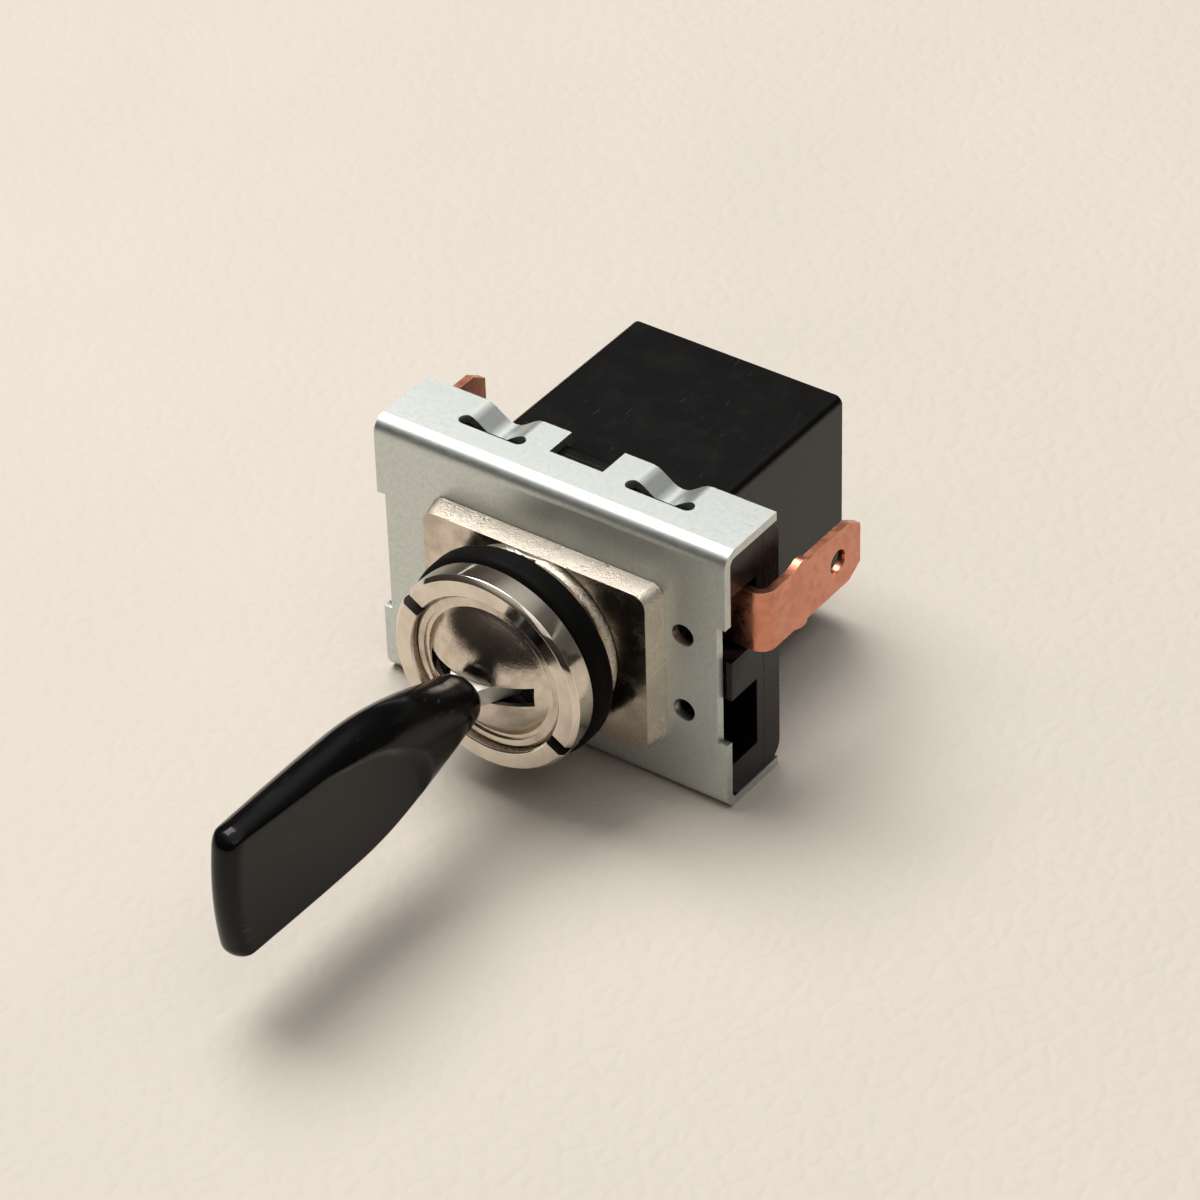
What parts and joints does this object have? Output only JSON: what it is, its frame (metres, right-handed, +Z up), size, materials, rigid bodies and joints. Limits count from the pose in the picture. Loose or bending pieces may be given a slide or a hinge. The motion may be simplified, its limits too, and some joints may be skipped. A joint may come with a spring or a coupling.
{
  "type": "panel lever switch",
  "caption": "Panel-mounted lever switch: channel bracket, threaded cast neck with ring nut, slotted dome, flat lever with black paddle and a rear contact box with copper blade terminals.",
  "frame": {"origin": "on the axis of the round neck, at the front face of the bracket", "axes": "+X along the bracket's length, +Y from the panel into the housing, +Z up when the switch stands on its lower flange as shown; the lever points along -Y"},
  "size_m": [0.0422, 0.0773, 0.0282],
  "materials": {
    "zinc_steel": "zinc-plated sheet steel, pale blue passivate",
    "cast_nickel": "nickel-plated zinc casting, slightly rough",
    "black_rubber": "matt black rubber",
    "polished_nickel": "polished nickel plate",
    "satin_nickel": "nickel plate over a pressed dome, fine pitting",
    "steel_pin": "bright steel",
    "hub_zinc": "plain zinc casting",
    "lever_steel": "pale zinc-plated flat steel",
    "gloss_black": "glossy black moulding with soft marks",
    "fibre_brown": "phenolic fibre",
    "spring_steel": "spring wire",
    "black_moulding": "satin black phenolic moulding",
    "copper": "bare copper strip",
    "brass_rivet": "brass",
    "silver_contact": "silver contact",
    "ivory_nylon": "natural nylon"
  },
  "bodies": {
    "housing": {"bracket": "zinc_steel", "neck_plate": "cast_nickel", "sealing_washer": "black_rubber", "ring_nut": "polished_nickel", "dome_cap": "satin_nickel", "pivot_pin": "steel_pin", "detent_plate": "steel_pin", "insulating_sheet": "fibre_brown", "terminal_base": "black_moulding", "rear_cover": "black_moulding", "right_terminal": "copper", "left_terminal": "copper", "terminal_rivets": "brass_rivet", "fixed_contacts": "silver_contact"},
    "lever": {"lever_hub": "hub_zinc", "lever_blade": "lever_steel", "blade_rivet": "steel_pin", "paddle": "gloss_black", "detent_spring": "spring_steel"},
    "plunger": {"detent_plunger": "fibre_brown"},
    "carriage": {"contact_carriage": "ivory_nylon", "contact_bridge": "copper", "moving_contacts": "silver_contact", "contact_springs": "spring_steel"}
  },
  "joints": [
    {"name": "lever_swing", "type": "hinge", "parent": "housing", "child": "lever", "pos_m": [0, -0.0034, 0], "axis": [0, 0, 1], "range_deg": [-20, 20]},
    {"name": "carriage_slide", "type": "slide", "parent": "housing", "child": "carriage", "axis": [1, 0, 0], "range_m": [-0.00365, 0.00365]},
    {"name": "plunger_slide", "type": "slide", "parent": "lever", "child": "plunger", "axis": [0, 1, 0], "range_m": [0, 0.00035], "stiffness_N_per_m": 600, "springref_m": 0.004, "deforming": ["detent_spring"]}
  ],
  "couplings": [
    {"joint": "carriage_slide", "follows": "lever_swing", "m_per_rad": -0.01035}
  ]
}
